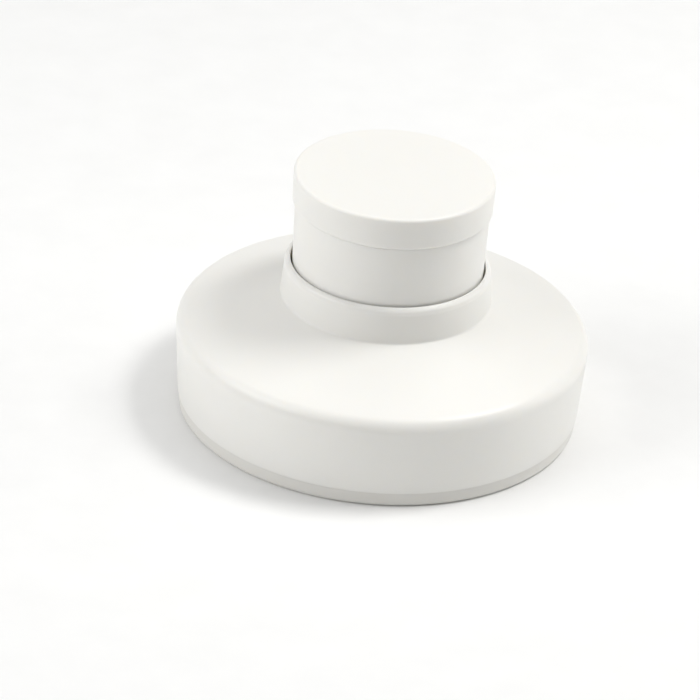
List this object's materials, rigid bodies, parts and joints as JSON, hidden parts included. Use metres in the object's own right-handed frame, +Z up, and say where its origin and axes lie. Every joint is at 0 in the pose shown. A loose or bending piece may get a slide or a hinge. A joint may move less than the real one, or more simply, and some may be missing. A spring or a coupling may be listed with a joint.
{
  "type": "hand patty press",
  "caption": "Hand-held round burger press: a sprung palm knob slides in the housing's collar and pushes a ridged plate down inside a smooth mould.",
  "frame": {"origin": "centre of the foot, on the surface that the press stands on", "axes": "+Z up along the plunger's axis, from the foot to the knob; the press is round about Z"},
  "size_m": [0.1196, 0.1196, 0.076],
  "materials": {
    "housing_plastic": "warm white moulded plastic, satin",
    "knob_plastic": "warm white moulded plastic, satin",
    "insert_plastic": "warm white moulded plastic, slightly smoother",
    "screw_steel": "turned stainless steel",
    "spring_steel": "drawn stainless wire",
    "bumper_rubber": "matt moulded rubber"
  },
  "bodies": {
    "housing_assembly": {"housing": "housing_plastic", "mould_ring": "insert_plastic", "guide_plate": "insert_plastic", "guide_screws": "screw_steel", "lower_spring_washer": "screw_steel", "return_spring": "spring_steel"},
    "plunger_assembly": {"press_plate": "insert_plastic", "plunger_stem": "insert_plastic", "plate_screw": "screw_steel", "stop_bumper": "bumper_rubber", "knob_body": "knob_plastic", "upper_spring_washer": "screw_steel", "knob_screw": "screw_steel", "knob_washer": "screw_steel", "knob_cap": "knob_plastic"}
  },
  "joints": [
    {"name": "plunger_press", "type": "slide", "parent": "housing_assembly", "child": "plunger_assembly", "axis": [0, 0, -1], "range_m": [0, 0.015], "stiffness_N_per_m": 500, "springref_m": -0.01, "deforming": ["return_spring"]}
  ]
}
